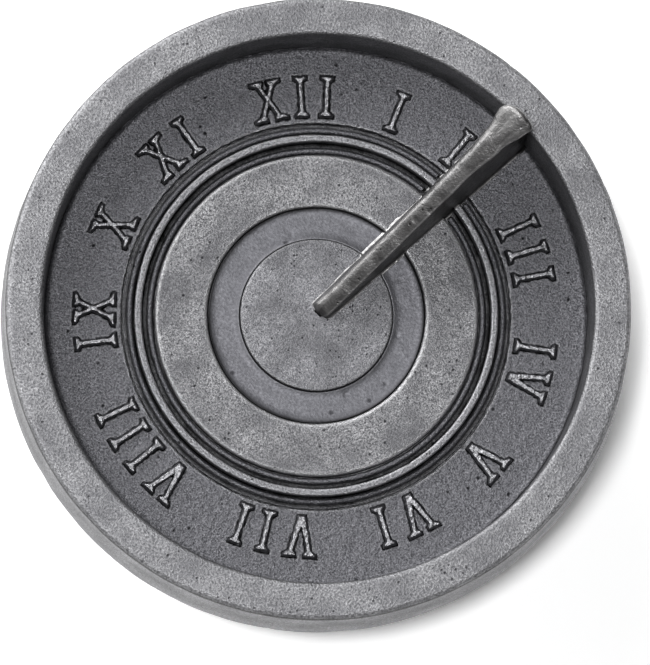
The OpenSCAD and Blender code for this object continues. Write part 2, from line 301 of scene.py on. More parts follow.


# Zinc-tin casting, tumbled in ceramic chips after a black oxide bath: the oxide stays in
# hollows and pores, and whatever the chips reach is rubbed back to a soft grey sheen. The
# same dark is also painted on as shade, and the rubbed grey as highlights, on some sides and
# edges of the dish and the gnomon. The chips' own marks are finer than a pixel, so the grain
# is as coarse as it needs to be to show.
def antiquedCasting(name, look):
    s = {**finish, **look}
    material, tree = newMaterial(name)
    coords = addNode(tree, "ShaderNodeTexCoord").outputs["Object"]
    wear = addNode(tree, "ShaderNodeAttribute", attribute_name="wear").outputs["Fac"]
    grime = addNode(tree, "ShaderNodeAttribute", attribute_name="grime").outputs["Fac"]

    grain = addNode(tree, "ShaderNodeTexNoise", {
        "Vector": coords, "Scale": 1 / (s["grainMm"] * mm), "Detail": 2.0,
        "Roughness": s["grainRough"]})
    cloud = addNode(tree, "ShaderNodeTexNoise", {
        "Vector": coords, "Scale": 1 / (s["cloudMm"] * mm), "Detail": 4.0,
        "Roughness": s["grainRough"]})
    tone = addNode(tree, "ShaderNodeMapRange", {
        "Value": grain, "From Min": 0.5 - s["softness"], "From Max": 0.5 + s["softness"]})
    drift = addNode(tree, "ShaderNodeMapRange", {
        "Value": cloud, "From Min": s["cloudRange"][0], "From Max": s["cloudRange"][1],
        "To Max": s["cloudAmount"]})

    # pores: the few Voronoi cells whose random value is low keep a dark spot
    pore = addNode(tree, "ShaderNodeTexVoronoi", {
        "Vector": coords, "Scale": 1 / (s["poreMm"] * mm), "Randomness": 1.0})
    chosen = addNode(tree, "ShaderNodeSeparateColor", {"Color": pore.outputs["Color"]})
    fewer = addNode(tree, "ShaderNodeMath", {0: chosen, 1: s["poreShare"]}, operation="LESS_THAN")
    spot = addNode(tree, "ShaderNodeMapRange", {
        "Value": pore.outputs["Distance"], "From Min": s["poreRange"][0],
        "From Max": s["poreRange"][1], "To Min": 1.0, "To Max": 0.0})
    spots = addNode(tree, "ShaderNodeMath", {0: fewer, 1: spot}, operation="MULTIPLY")

    # rubbed edges and painted highlights, broken up by the grain
    rub = addNode(tree, "ShaderNodeMath", {
        0: grain, 1: s["rubGrain"], 2: s["rubLevel"] - s["rubGrain"] / 2},
        operation="MULTIPLY_ADD")
    rubbed = addNode(tree, "ShaderNodeMath", {0: wear, 1: rub},
                     operation="MULTIPLY", use_clamp=True)

    # oxide left in the corners, and painted shade
    left = addNode(tree, "ShaderNodeMath", {
        0: cloud, 1: s["oxideCloud"], 2: -s["oxideCloud"] / 2}, operation="MULTIPLY_ADD")
    sootyAndShaded = addNode(tree, "ShaderNodeMath", {0: grime, 1: left}, operation="ADD")
    sootAndShade = addNode(tree, "ShaderNodeMath", {0: sootyAndShaded, 1: grime},
                   operation="MULTIPLY", use_clamp=True)

    colour = addNode(tree, "ShaderNodeMix", {
        0: tone, 6: linear(s["dark"]), 7: linear(s["light"])}, data_type="RGBA")
    for amount, over in ((drift, "cloudColour"), (spots, "poreColour"), (rubbed, "wornColour"),
                         (sootAndShade, "oxide")):
        colour = addNode(tree, "ShaderNodeMix", {
            0: amount, 6: colour.outputs[2], 7: linear(s[over])}, data_type="RGBA")

    rough = addNode(tree, "ShaderNodeMapRange", {
        "Value": grain, "From Min": s["roughRange"][0], "From Max": s["roughRange"][1],
        "To Min": s["roughness"][1], "To Max": s["roughness"][0]})
    sheen = addNode(tree, "ShaderNodeMath", {0: rubbed, 1: -s["rubbedSheen"], 2: rough},
                    operation="MULTIPLY_ADD")
    fine = addNode(tree, "ShaderNodeTexNoise", {
        "Vector": coords, "Scale": s["fineGrain"] / (s["grainMm"] * mm), "Detail": 1.0})
    height = addNode(tree, "ShaderNodeMath", {0: fine, 1: s["fineShare"], 2: grain},
                     operation="MULTIPLY_ADD")
    pitted = addNode(tree, "ShaderNodeMath", {0: spots, 1: -s["poreDeep"], 2: height},
                     operation="MULTIPLY_ADD")
    makeSurface(tree, colour, pitted, s["bumpMm"], Metallic=1.0, Roughness=sheen)
    return material


# For each casting: its metal from light to dark, the clouds, pores, rubbed edges and painted
# highlights, oxide and painted shade over it, and the sizes of its patterns.
looks = {
    "rim": {
        "light": "#9d9d9f", "dark": "#5e5e61", "softness": 0.2, "grainMm": 0.085, "cloudMm": 1.5,
        "cloudColour": "#6a6a6d", "cloudAmount": 0.75, "poreMm": 0.14, "poreShare": 0.035,
        "poreColour": "#47474a", "wornColour": "#cfcfd2", "oxide": "#1e1e1e",
        "rubGrain": 2.0, "roughness": (0.46, 0.6), "bumpMm": 0.035},
    "hourFloor": {
        "light": "#7e7e82", "dark": "#444448", "softness": 0.2, "grainMm": 0.075, "cloudMm": 1.2,
        "cloudColour": "#646468", "cloudAmount": 0.4, "poreMm": 0.2, "poreShare": 0.012,
        "poreColour": "#262628", "wornColour": "#a5a5a8", "oxide": "#121212",
        "rubGrain": 2.0, "roughness": (0.42, 0.6), "bumpMm": 0.045},
    "moulding": {
        "light": "#8f8f92", "dark": "#4f4f52", "softness": 0.17, "grainMm": 0.08, "cloudMm": 0.9,
        "cloudColour": "#707074", "cloudAmount": 0.4, "poreMm": 0.14, "poreShare": 0.02,
        "poreColour": "#2c2c2e", "wornColour": "#c2c2c5", "oxide": "#121212",
        "rubGrain": 1.4, "roughness": (0.4, 0.58), "bumpMm": 0.035},
    "plate": {
        "light": "#a1a1a3", "dark": "#4c4c4f", "softness": 0.19, "grainMm": 0.064, "cloudMm": 1.8,
        "cloudColour": "#5e5e61", "cloudAmount": 0.8, "poreMm": 0.15, "poreShare": 0.03,
        "poreColour": "#38383b", "wornColour": "#e6e6e8", "oxide": "#1a1a1a",
        "rubGrain": 1.2, "roughness": (0.43, 0.6), "bumpMm": 0.032},
    "recess": {
        "light": "#68686c", "dark": "#545458", "softness": 0.3, "grainMm": 0.1, "cloudMm": 1.4,
        "cloudColour": "#5b5b5f", "cloudAmount": 0.5, "poreMm": 0.3, "poreShare": 0.014,
        "poreColour": "#3c3c3f", "wornColour": "#b4b4b7", "oxide": "#1a1a1a",
        "rubGrain": 1.0, "roughness": (0.48, 0.58), "bumpMm": 0.012},
    "gnomon": {
        "light": "#8c8b8b", "dark": "#5f5e5e", "softness": 0.3, "grainMm": 0.11, "cloudMm": 0.45,
        "cloudColour": "#575656", "cloudAmount": 0.75, "poreMm": 0.16, "poreShare": 0.04,
        "poreColour": "#3c3b3b", "wornColour": "#c4c3c3", "oxide": "#1c1b1b",
        "rubGrain": 0.8, "roughness": (0.4, 0.52), "bumpMm": 0.02},
    "numeral": {
        "light": "#828285", "dark": "#4e4e51", "softness": 0.25, "grainMm": 0.08, "cloudMm": 0.5,
        "cloudColour": "#66666a", "cloudAmount": 0.5, "poreMm": 0.25, "poreShare": 0.0175,
        "poreColour": "#38383a", "wornColour": "#9e9ea1", "oxide": "#0e0e0e",
        "rubGrain": 1.6, "roughness": (0.34, 0.5), "bumpMm": 0.035},
}
looks["disc"] = {**looks["plate"], "light": "#a0a0a3", "dark": "#5c5c60", "grainMm": 0.058,
                 "poreMm": 0.11, "poreShare": 0.05}
castings = {name: antiquedCasting("antiquedCasting_" + name, look)
            for name, look in looks.items()}


# Soft PVC, injection moulded against a fine spark-eroded tool: charcoal, dull and a little
# cloudy, with a faint tooth that is drawn coarser than the real one so that it shows.
def mouldedPvc(look):
    material, tree = newMaterial("mouldedSoftPvc")
    coords = addNode(tree, "ShaderNodeTexCoord").outputs["Object"]
    tooth = addNode(tree, "ShaderNodeTexNoise", {
        "Vector": coords, "Scale": 1 / (look["toothMm"] * mm), "Detail": 2.0})
    haze = addNode(tree, "ShaderNodeTexNoise", {
        "Vector": coords, "Scale": 1 / (look["hazeMm"] * mm), "Detail": 3.0})
    colour = addNode(tree, "ShaderNodeMix", {
        0: haze, 6: linear(look["dark"]), 7: linear(look["light"])}, data_type="RGBA")
    rough = addNode(tree, "ShaderNodeMapRange", {
        "Value": haze, "To Min": look["roughness"][0], "To Max": look["roughness"][1]})
    makeSurface(tree, colour, tooth, look["toothDeep"], Roughness=rough, IOR=look["ior"])
    return material


softPvc = mouldedPvc({
    "dark": "#1f1f21", "light": "#333336", "toothMm": 0.09, "hazeMm": 2.4, "toothDeep": 0.008,
    "roughness": (0.45, 0.7), "ior": 1.53})


# Free-cutting steel, turned on a lathe: grey with fine rings round the axis, from a feed of
# 0.08 mm that is drawn six times as coarse so that it shows.
def turnedSteel(look):
    material, tree = newMaterial("turnedSteel")
    coords = addNode(tree, "ShaderNodeTexCoord").outputs["Object"]
    rings = addNode(tree, "ShaderNodeTexWave", {
        "Vector": coords, "Scale": 1 / (look["feedMm"] * mm) / 20, "Distortion": 0.6,
        "Detail": 1.0}, wave_type="RINGS", rings_direction="Z")
    colour = addNode(tree, "ShaderNodeMix", {
        0: rings, 6: linear(look["dark"]), 7: linear(look["light"])}, data_type="RGBA")
    makeSurface(tree, colour, rings, look["ringDeep"], Metallic=1.0, Roughness=look["roughness"])
    return material


pin = frame["nodes"]["stud_pin"]
pin.data.materials.clear()
pin.data.materials.append(turnedSteel({
    "dark": "#a2a29f", "light": "#c4c4c0", "feedMm": 0.08, "ringDeep": 0.004,
    "roughness": 0.32}))
print("materials made")


# Turns an outline about the dial's axis: a grid with one row for each point of it.
def latheTree():
    tree, given = newTree("turnedRing", {"Geometry": "Geometry", "Segments": "Int", "Rows": "Int"})
    position = addNode(tree, "GeometryNodeInputPosition")
    index = addNode(tree, "GeometryNodeInputIndex")
    size = addNode(tree, "GeometryNodeAttributeDomainSize", {"Geometry": given["Geometry"]})
    across = addNode(tree, "FunctionNodeIntegerMath", {0: given["Segments"], 1: 1})
    along = addNode(tree, "FunctionNodeIntegerMath", {0: given["Rows"], 1: 1})
    grid = addNode(tree, "GeometryNodeMeshGrid", {"Vertices X": along, "Vertices Y": across})
    row = addNode(tree, "FunctionNodeIntegerMath", {0: index, 1: across}, operation="DIVIDE_FLOOR")
    point = addNode(tree, "FunctionNodeIntegerMath", {0: row, 1: size}, operation="MODULO")
    step = addNode(tree, "FunctionNodeIntegerMath", {0: index, 1: across}, operation="MODULO")
    share = addNode(tree, "ShaderNodeMath", {0: step, 1: given["Segments"]}, operation="DIVIDE")
    angle = addNode(tree, "ShaderNodeMath", {0: share, 1: math.tau}, operation="MULTIPLY")
    outline = addNode(tree, "GeometryNodeSampleIndex", {
        "Geometry": given["Geometry"], "Value": position, "Index": point},
        data_type="FLOAT_VECTOR")
    turned = addNode(tree, "ShaderNodeVectorRotate", {
        "Vector": outline, "Angle": angle}, rotation_type="Z_AXIS")
    shape = addNode(tree, "GeometryNodeSetPosition", {"Geometry": grid, "Position": turned})
    for name in ("wear", "grime"):
        stored = addNode(tree, "GeometryNodeInputNamedAttribute", {"Name": name})
        value = addNode(tree, "GeometryNodeSampleIndex", {
            "Geometry": given["Geometry"], "Value": stored, "Index": point})
        shape = addNode(tree, "GeometryNodeStoreNamedAttribute", {
            "Geometry": shape, "Name": name, "Value": value})
    closed = addNode(tree, "GeometryNodeMergeByDistance", {"Geometry": shape, "Distance": 0.0005})
    smooth = addNode(tree, "GeometryNodeSetShadeSmooth", {"Geometry": closed})
    return endTree(tree, smooth, castings["rim"])


skinRange = {"Wave": (0.3, 0.7), "Dent": (0.62, 0.8)}  # of the noise, from flat to full depth


# The skin that casting and tumbling leave: long shallow waves and a few soft dents, both
# inwards, so that no piece outgrows its size.
def skinTree():
    tree, given = newTree("castSkin", {
        "Geometry": "Geometry", "Wave Size": "Float", "Wave Depth": "Float",
        "Dent Size": "Float", "Dent Depth": "Float", "Seed": "Float"})
    position = addNode(tree, "GeometryNodeInputPosition")
    normal = addNode(tree, "GeometryNodeInputNormal")
    depths = []
    for label, (low, high) in skinRange.items():
        often = addNode(tree, "ShaderNodeMath", {
            0: 1.0, 1: given[label + " Size"]}, operation="DIVIDE")
        noise = addNode(tree, "ShaderNodeTexNoise", {
            "Vector": position, "W": given["Seed"], "Scale": often, "Detail": 1.0},
            noise_dimensions="4D")
        shaped = addNode(tree, "ShaderNodeMapRange", {
            "Value": noise, "From Min": low, "From Max": high}, interpolation_type="SMOOTHSTEP")
        depths.append(addNode(tree, "ShaderNodeMath", {
            0: shaped, 1: given[label + " Depth"]}, operation="MULTIPLY"))
    deep = addNode(tree, "ShaderNodeMath", {0: depths[0], 1: depths[1]}, operation="ADD")
    inwards = addNode(tree, "ShaderNodeMath", {0: deep, 1: -1.0}, operation="MULTIPLY")
    offset = addNode(tree, "ShaderNodeVectorMath", {
        0: normal, "Scale": inwards}, operation="SCALE")
    moved = addNode(tree, "GeometryNodeSetPosition", {
        "Geometry": given["Geometry"], "Offset": offset})
    return endTree(tree, moved, castings["rim"])


turnedRing = latheTree()
castSkin = skinTree()


def arc(x, z, r, start, end, steps=6):  # points on a circle, from one angle to another
    angles = [math.radians(start + (end - start) * i / steps) for i in range(steps + 1)]
    return [(x + r * math.cos(a), z + r * math.sin(a)) for a in angles]


# An outline is turned about the axis; one that isn't closed starts and ends on the axis. A
# point's third number is the step of the run that starts there. worn and grimy list the
# corners, as radius, height, width and amount, where chips have rubbed, and where oxide has
# stayed and where shade is painted.
def turnedMesh(outline, segments, step, worn=(), grimyAndShaded=(), closed=True):
    points = []
    ends = outline[1:] + outline[:1] if closed else outline[1:]
    for (r1, z1, *own), (r2, z2, *_) in zip(outline, ends):
        count = max(1, round(math.hypot(r2 - r1, z2 - z1) / (own[0] if own else step)))
        points += [(r1 + (r2 - r1) * i / count, 0, z1 + (z2 - z1) * i / count)
                   for i in range(count)]
    if not closed:
        points.append((outline[-1][0], 0, outline[-1][1]))
    mesh = bpy.data.meshes.new("outline")
    mesh.from_pydata(points, [], [])
    flat = np.array(points)
    for name, corners in (("wear", worn), ("grime", grimyAndShaded)):
        amount = np.zeros(len(points))
        for r, z, width, *most in corners:
            away = np.hypot(flat[:, 0] - r, flat[:, 2] - z)
            amount = np.maximum(amount, (most[0] if most else 1) * np.exp(-(away / width) ** 2))
        setAttribute(mesh, name, amount)
    rows = len(points) if closed else len(points) - 1
    return tidyMesh(runTree(turnedRing, mesh, Segments=segments, Rows=rows))


def roughened(mesh, skin, seed):
    return runTree(castSkin, mesh, WaveSize=skin["wave"][0], WaveDepth=skin["wave"][1],
                   DentSize=skin["dent"][0], DentDepth=skin["dent"][1], Seed=float(seed))


# The line of wear along an edge that ends at radius r; inward is 1 on a ring's inner edge.
def rubbedEdge(r, z, edge, inward, width=0.5, amount=1):
    back = edge * 0.35
    return (r + inward * back, z - back, edge * width, amount)


# The gnomon, whose sizes the slots in the plates share. Places along it are distances from
# the dial's axis, and where there are two values the right side's is first.
fin = {
    "azimuth": 43.2,       # from +X
    "slope": 29.5,
    "width": 0.78,         # of the style
    "draft": 2.6,
    "tipHeight": 0.34,     # above the disc
    "tipGap": 0.12,
    "tipFoot": 0.03, "tipRound": 0.22, "tipLift": 0.004,
    "tipPowers": (3, 1.2),  # how the tip's curve starts and ends
    "sunkFrom": 1.74,      # where the foot goes down past the pin's head
    "end": radius["hourOut"],
    "overRim": 0.1,        # how much higher than the rim the head meets the wall
    # place and half the width of the top
    "topHalf": ([(0.12, 0.39), (7.9, 0.395), (8.4, 0.46), (8.8, 0.535), (9.06, 0.51),
                 (9.32, 0.54), (9.83, 0.7), (10.3, 0.8)],
                [(0.12, 0.4), (6.5, 0.4), (8, 0.425), (8.7, 0.475), (9.46, 0.547),
                 (9.7, 0.63), (9.95, 0.735), (10.2, 0.75)]),
    "easing": 0.13, "easingSteps": 9,  # how far each corner of that chain is rounded off
    "flare": (8.6, 9.9),   # from the style's shape to the head's
    "flareDepth": 1.15,    # how far down the sides the head spreads
    "headEnd": 10.605, "endRound": 0.36,
    "headLean": 0.1, "leanRange": (9.9, 10.5),  # the head leans to the right
    "corner": (0.355, 0.555), "cornerPower": (2.8, 2.0), "cornerStop": 0.97,  # its far corners
    "edgeRound": (0.07, 0.3), "headEdge": 0.25,  # headEdge is added in the head
    "shoulder": (1, 1.5), "headShoulder": 0.5,   # an edge's height against its width
    "crown": 0.03, "headCrown": 0.6,
    "fillet": 0.125, "stepBlend": 0.03,          # along the foot, and over the dial's steps
    "pegWidth": 0.8,
    # wear, painted highlights and painted shade, from 0 to 1
    # the line along the foot's fillet, the line round the left edge and the head's lighter left
    # side are painted highlights; the sides and the far end are painted darker as shade, most on
    # the right
    "rubbed": (0.7, 0.8), "headRubbed": 0.5, "filletWear": 0.8, "dirt": (0.3, 0.05),
    "rubbedLine": (60, 35),    # a painted highlight round the left edge: its middle and its width
    "topWear": 0.5, "headWear": (0.25, 0.7),     # painted highlights: along the top's right edge, and over the head, from right to left
    "farDull": (0.55, 0.2), "dull": (0.85, 0.6),  # painted shade over the far end, which starts and is full this far in; how dark it is on the right, and how much less on the left
    # the fineness of the mesh
    "station": 0.035, "tipSteps": 18, "endSteps": 12, "backSteps": 8,
    "edgeSteps": (6, 10), "sideSteps": 14, "topSteps": 10, "filletSteps": 6,
    "skin": {"wave": (0.9, 0.03), "dent": (0.5, 0.03)}, "seed": 9,
}
turnToFin = Matrix.Rotation(math.radians(fin["azimuth"]), 4, "Z")


def styleHeight(x):
    foot = level["disc"] + fin["tipHeight"] - fin["crown"]
    return foot + (x - fin["tipGap"]) * math.tan(math.radians(fin["slope"]))


def finHalf(x, z):  # half the width of the straight fin
    return fin["width"] / 2 + (styleHeight(x) - z) * math.tan(math.radians(fin["draft"]))


def boxMesh(corners, low, high):  # a prism over a plan given anticlockwise
    mesh = bpy.data.meshes.new("prism")
    count = len(corners)
    points = [(x, y, low) for x, y in corners] + [(x, y, high) for x, y in corners]
    sides = [(i, (i + 1) % count, (i + 1) % count + count, i + count) for i in range(count)]
    ends = [tuple(range(count))[::-1], tuple(range(count, 2 * count))]
    mesh.from_pydata(points, [], sides + ends)
    return mesh


def slotted(mesh, startX, low):  # the mesh, whose underside is at low, less the fin's place
    near = finHalf(fin["tipGap"], level["floor"]) + gap
    far = finHalf(fin["end"], level["floor"]) + gap
    past = fin["end"] + 1
    slope = (far - near) / (fin["end"] - fin["tipGap"])
    near += slope * (startX - fin["tipGap"])
    slot = boxMesh([(startX, -near), (past, -far - slope), (past, far + slope), (startX, near)],
                   low - 1, level["rim"])
    slot.transform(turnToFin)
    return cutWith(mesh, slot)


# Each turned piece has a step between its points, and a coarser one where nobody looks. The
# skin is the size and depth of its waves and dents.
dish = {
    "sideLean": 3.75, "wallLean": 1,
    "rimEdge": 0.22, "backEdge": 0.2, "innerEdge": 0.2, "rimWidth": 1.46, "pinHole": 1.02,
    "floor": level["floor"] - level["back"],
    "segments": 660, "step": 0.13, "hiddenStep": 0.4, "pegSegments": 48,
    "skin": {"wave": (1.3, 0.02), "dent": (0.55, 0.02)}, "seed": 1,
}


def dishMesh(s):
    lean = math.radians(s["sideLean"])
    high = level["rim"] - level["back"]

    def edgeX(r, z):  # where an edge's centre lies so that it runs smoothly into the side
        return radius["base"] - (r + z * math.sin(lean)) / math.cos(lean)

    wallTop = radius["base"] - high * math.tan(lean) - s["rimWidth"]
    wallFoot = wallTop - (high - s["floor"]) * math.tan(math.radians(s["wallLean"]))
    outer = edgeX(s["rimEdge"], high - s["rimEdge"])
    inner = wallTop + s["innerEdge"]
    edge, innerEdge, backEdge = s["rimEdge"], s["innerEdge"], s["backEdge"]
    outline = [(s["pinHole"], 0, s["hiddenStep"])]
    outline += arc(edgeX(backEdge, backEdge), backEdge, backEdge, -90, s["sideLean"])
    outline += arc(outer, high - edge, edge, s["sideLean"], 90, 8)
    outline += arc(inner, high - innerEdge, innerEdge, 90, 180, 5)
    outline += [(wallFoot, s["floor"], s["hiddenStep"]), (s["pinHole"], s["floor"])]
    worn = [(outer + edge * 0.6, high - edge * 0.25, edge * 0.5, 0.4),
            (inner - innerEdge * 0.6, high - innerEdge * 0.3, innerEdge * 0.4, 0.45)]
    grimyAndShaded = [(wallFoot, s["floor"] + 1.2, 1.1, 0.6),           # the wall inside: oxide and painted shade
             (radius["base"], high / 2, 1.6, 0.6),             # the outer side: painted shade
             (outer + edge, high - edge - 0.04, 0.17, 1.4)]    # painted shade under the rim's edge
    mesh = turnedMesh(outline, s["segments"], s["step"], worn, grimyAndShaded)
    mesh.transform(Matrix.Translation((0, 0, level["back"])))
    mesh = roughened(mesh, s["skin"], s["seed"])
    return tidyMesh(cutWith(mesh, pegHoles(s)))


def pegHoles(s):  # two holes in the floor for the gnomon's pegs
    holes = bmesh.new()
    wide = fin["pegWidth"] / 2 + gap
    for x in ((fin["sunkFrom"] + fin["end"]) / 2, fin["end"] - fin["pegWidth"]):
        place = turnToFin @ Matrix.Translation((x, 0, level["back"]))
        bmesh.ops.create_cone(holes, cap_ends=True, segments=s["pegSegments"], radius1=wide,
                              radius2=wide, depth=3 * s["floor"], matrix=place)
    return meshFrom(holes, "pegHoles")


addPiece("dishCasting", dishMesh(dish), castings["rim"], "dish_metal", "dish")

# The letters are softened blocks that reach a little into the hour ring. Their tops are
# rubbed, and oxide stays round their feet.
letters = {
    "high": 1.65, "inset": 0.25, "relief": topOf("numeral_1") - level["hour"],
    "stroke": 0.205, "serif": 0.53, "serifThick": 0.12, "serifSlope": 0.12,
    "vSpread": 0.82, "vFoot": 0.3, "vCrotch": 0.47, "xHead": 0.7, "xFoot": 0.82, "space": 0.48,
    "layoutStroke": 0.21, "layoutSerif": 0.54,  # the widths that set the places of the letters
    "baseGrow": 0.065, "topShrink": 0.05, "sunk": 0.1,
    "voxel": 0.019, "smoothFactor": 0.5, "smoothing": 16,
    "wear": 0.8, "wearRange": (0.65, 0.9), "grimeRange": (0.1, 0.55),  # of the height
    "skin": {"wave": (0.2, 0.03), "dent": (0.16, 0.03)}, "seed": 20,
}
hourAzimuth = [68.5, 46.7, 17.3, -14, -40.3, -66.6, -100.7, -141.5, -178.2, 156.1, 130.9, 95.9]
words = ["I", "II", "III", "IV", "V", "VI", "VII", "VIII", "IX", "X", "XI", "XII"]


def footPoints(x, lean):  # a serif at the foot, from the stroke's left side round to its right
    s = letters
    neck = s["serifThick"] + s["serifSlope"]
    mid = x + lean * neck
    half, wide = s["stroke"] / 2, s["serif"] / 2
    return [(mid - half, neck), (x - wide, s["serifThick"]), (x - wide, 0),
            (x + wide, 0), (x + wide, s["serifThick"]), (mid + half, neck)]


def headPoints(x, lean):  # the same at the head, from the stroke's right side round to its left
    s = letters
    neck = s["serifThick"] + s["serifSlope"]
    mid = x - lean * neck
    half, wide, high = s["stroke"] / 2, s["serif"] / 2, s["high"]
    return [(mid + half, high - neck), (x + wide, high - s["serifThick"]), (x + wide, high),
            (x - wide, high), (x - wide, high - s["serifThick"]), (mid - half, high - neck)]


def letterOutline(letter):
    s = letters
    if letter == "I":
        return footPoints(0, 0) + headPoints(0, 0)
    if letter == "V":
        x = s["vSpread"] / 2
        lean = (x + s["stroke"] / 2 - s["vFoot"] / 2) / s["high"]
        return ([(-s["vFoot"] / 2, 0), (s["vFoot"] / 2, 0)] + headPoints(x, lean)
                + [(0, s["vCrotch"])] + headPoints(-x, -lean))
    x, foot = s["xHead"] / 2, s["xFoot"] / 2
    lean = (x + foot) / s["high"]
    cross = foot / lean
    reach = s["stroke"] / 2 / lean
    return (footPoints(-foot, lean) + [(0, cross - reach)] + footPoints(foot, -lean)
            + [(s["stroke"] / 2, cross)] + headPoints(x, lean) + [(0, cross + reach)]
            + headPoints(-x, -lean) + [(-s["stroke"] / 2, cross)])


def offsetOutline(points, out):  # each side of an anticlockwise outline moved outwards
    moved = []
    count = len(points)
    for i in range(count):
        a, b, c = (Vector(points[(i + k) % count]) for k in (-1, 0, 1))
        n1 = Vector(((b - a).y, -(b - a).x)).normalized()
        n2 = Vector(((c - b).y, -(c - b).x)).normalized()
        mitre = (n1 + n2) / max(0.35, 1 + n1.dot(n2))
        moved.append(b + mitre * out)
    return moved


def letterMesh(letter):
    s = letters
    outline = letterOutline(letter)
    rings = [(s["baseGrow"] * 1.3, -s["sunk"]), (s["baseGrow"], 0), (0.005, s["relief"] * 0.5),
             (-s["topShrink"], s["relief"])]  # how far out, and at what height
    bm = bmesh.new()
    loops = [[bm.verts.new((p[0], p[1], z)) for p in offsetOutline(outline, out)]
             for out, z in rings]
    closeRings(bm, loops)
    bmesh.ops.triangulate(bm, faces=bm.faces, ngon_method="EAR_CLIP")
    bmesh.ops.recalc_face_normals(bm, faces=bm.faces)
    thing = newObject("working", meshFrom(bm, "letter" + letter))
    remesh = thing.modifiers.new("remesh", "REMESH")
    remesh.mode = "VOXEL"
    remesh.voxel_size = s["voxel"]
    remesh.use_smooth_shade = True
    soften = thing.modifiers.new("soften", "SMOOTH")
    soften.factor = s["smoothFactor"]
    soften.iterations = s["smoothing"]
    mesh = bake(thing)
    height = getPoints(mesh)[:, 2] / s["relief"]
    setAttribute(mesh, "wear", s["wear"] * smoothStep(*s["wearRange"], height))
    setAttribute(mesh, "grime", 1 - smoothStep(*s["grimeRange"], height))
    return mesh


def numeralTree():
    tree, given = newTree("numeralOnRing", {
        "Geometry": "Geometry", "Letters": "Collection", "Foot Radius": "Float", "Floor": "Float"})
    azimuth = addNode(tree, "GeometryNodeInputNamedAttribute", {"Name": "azimuth"})
    kind = addNode(tree, "GeometryNodeInputNamedAttribute", {"Name": "kind"}, data_type="INT")
    spot = addNode(tree, "ShaderNodeCombineXYZ", {
        "X": given["Foot Radius"], "Z": given["Floor"]})
    onRing = addNode(tree, "ShaderNodeVectorRotate", {
        "Vector": spot, "Angle": azimuth}, rotation_type="Z_AXIS")
    placed = addNode(tree, "GeometryNodeSetPosition", {
        "Geometry": given["Geometry"], "Position": onRing})
    upright = addNode(tree, "ShaderNodeMath", {0: azimuth, 1: math.pi / 2}, operation="SUBTRACT")
    turn = addNode(tree, "ShaderNodeCombineXYZ", {"Z": upright})
    shapes = addNode(tree, "GeometryNodeCollectionInfo", {
        "Collection": given["Letters"], "Separate Children": True, "Reset Children": True})
    standing = addNode(tree, "GeometryNodeInstanceOnPoints", {
        "Points": placed, "Instance": shapes, "Pick Instance": True, "Instance Index": kind,
        "Rotation": turn})
    return endTree(tree, standing, castings["numeral"])


def letterWidth(letter):
    s = letters
    if letter == "I":
        return s["layoutSerif"]
    spread = s["vSpread"] if letter == "V" else s["xHead"]
    return spread + s["layoutSerif"] - s["layoutStroke"] / 2


def letterSpots(hour):  # one point for each letter, with its kind and its azimuth
    s = letters
    word = words[hour - 1]
    footRadius = radius["hourIn"] + s["inset"]
    whole = sum(letterWidth(c) for c in word) + s["space"] * (len(word) - 1)
    x = -whole / 2
    kinds, turns = [], []
    for c in word:
        middle = x + letterWidth(c) / 2
        turn = math.radians(hourAzimuth[hour - 1]) - middle / (footRadius + s["high"] / 2)
        x += letterWidth(c) + s["space"]
        aside = abs(turn - math.radians(fin["azimuth"])) * footRadius
        if aside > fin["width"]:  # any other letter is under the gnomon
            turns.append(turn)
            kinds.append("IVX".index(c))
    mesh = bpy.data.meshes.new("spots")
    mesh.from_pydata([(0, 0, 0)] * len(turns), [], [])
    setAttribute(mesh, "azimuth", turns)
    layer = mesh.attributes.new("kind", "INT", "POINT")
    layer.data.foreach_set("value", kinds)
    return mesh


def makeNumerals():
    case = bpy.data.collections.new("letterCase")
    bpy.context.scene.collection.children.link(case)
    for letter in "IVX":
        case.objects.link(bpy.data.objects.new("letter" + letter, letterMesh(letter)))
    tree = numeralTree()
    made = []
    for hour in range(1, 13):
        mesh = runTree(tree, letterSpots(hour), Letters=case, Floor=level["hour"],
                       FootRadius=radius["hourIn"] + letters["inset"])
        made.append(tidyMesh(roughened(mesh, letters["skin"], letters["seed"] + hour)))
    for thing in list(case.objects):
        bpy.data.objects.remove(thing)
    bpy.data.collections.remove(case)
    return made


numeralMeshes = makeNumerals()
print("numerals made")

hourRing = {
    "fillet": 0.22, "innerEdge": 0.09, "segments": 1150, "step": 0.056, "hiddenStep": 0.4,
    "moatDepth": 0.02, "moatWidth": 0.038,
    "lip": 0.008, "lipRange": (0.8, 1.2, 2.6), "lipWear": 0.35,  # lipRange in moat widths
    "facing": 0.9,  # only faces that look up more than this are changed
    "skin": {"wave": (0.22, 0.022), "dent": (0.3, 0.02)}, "seed": 2,
}


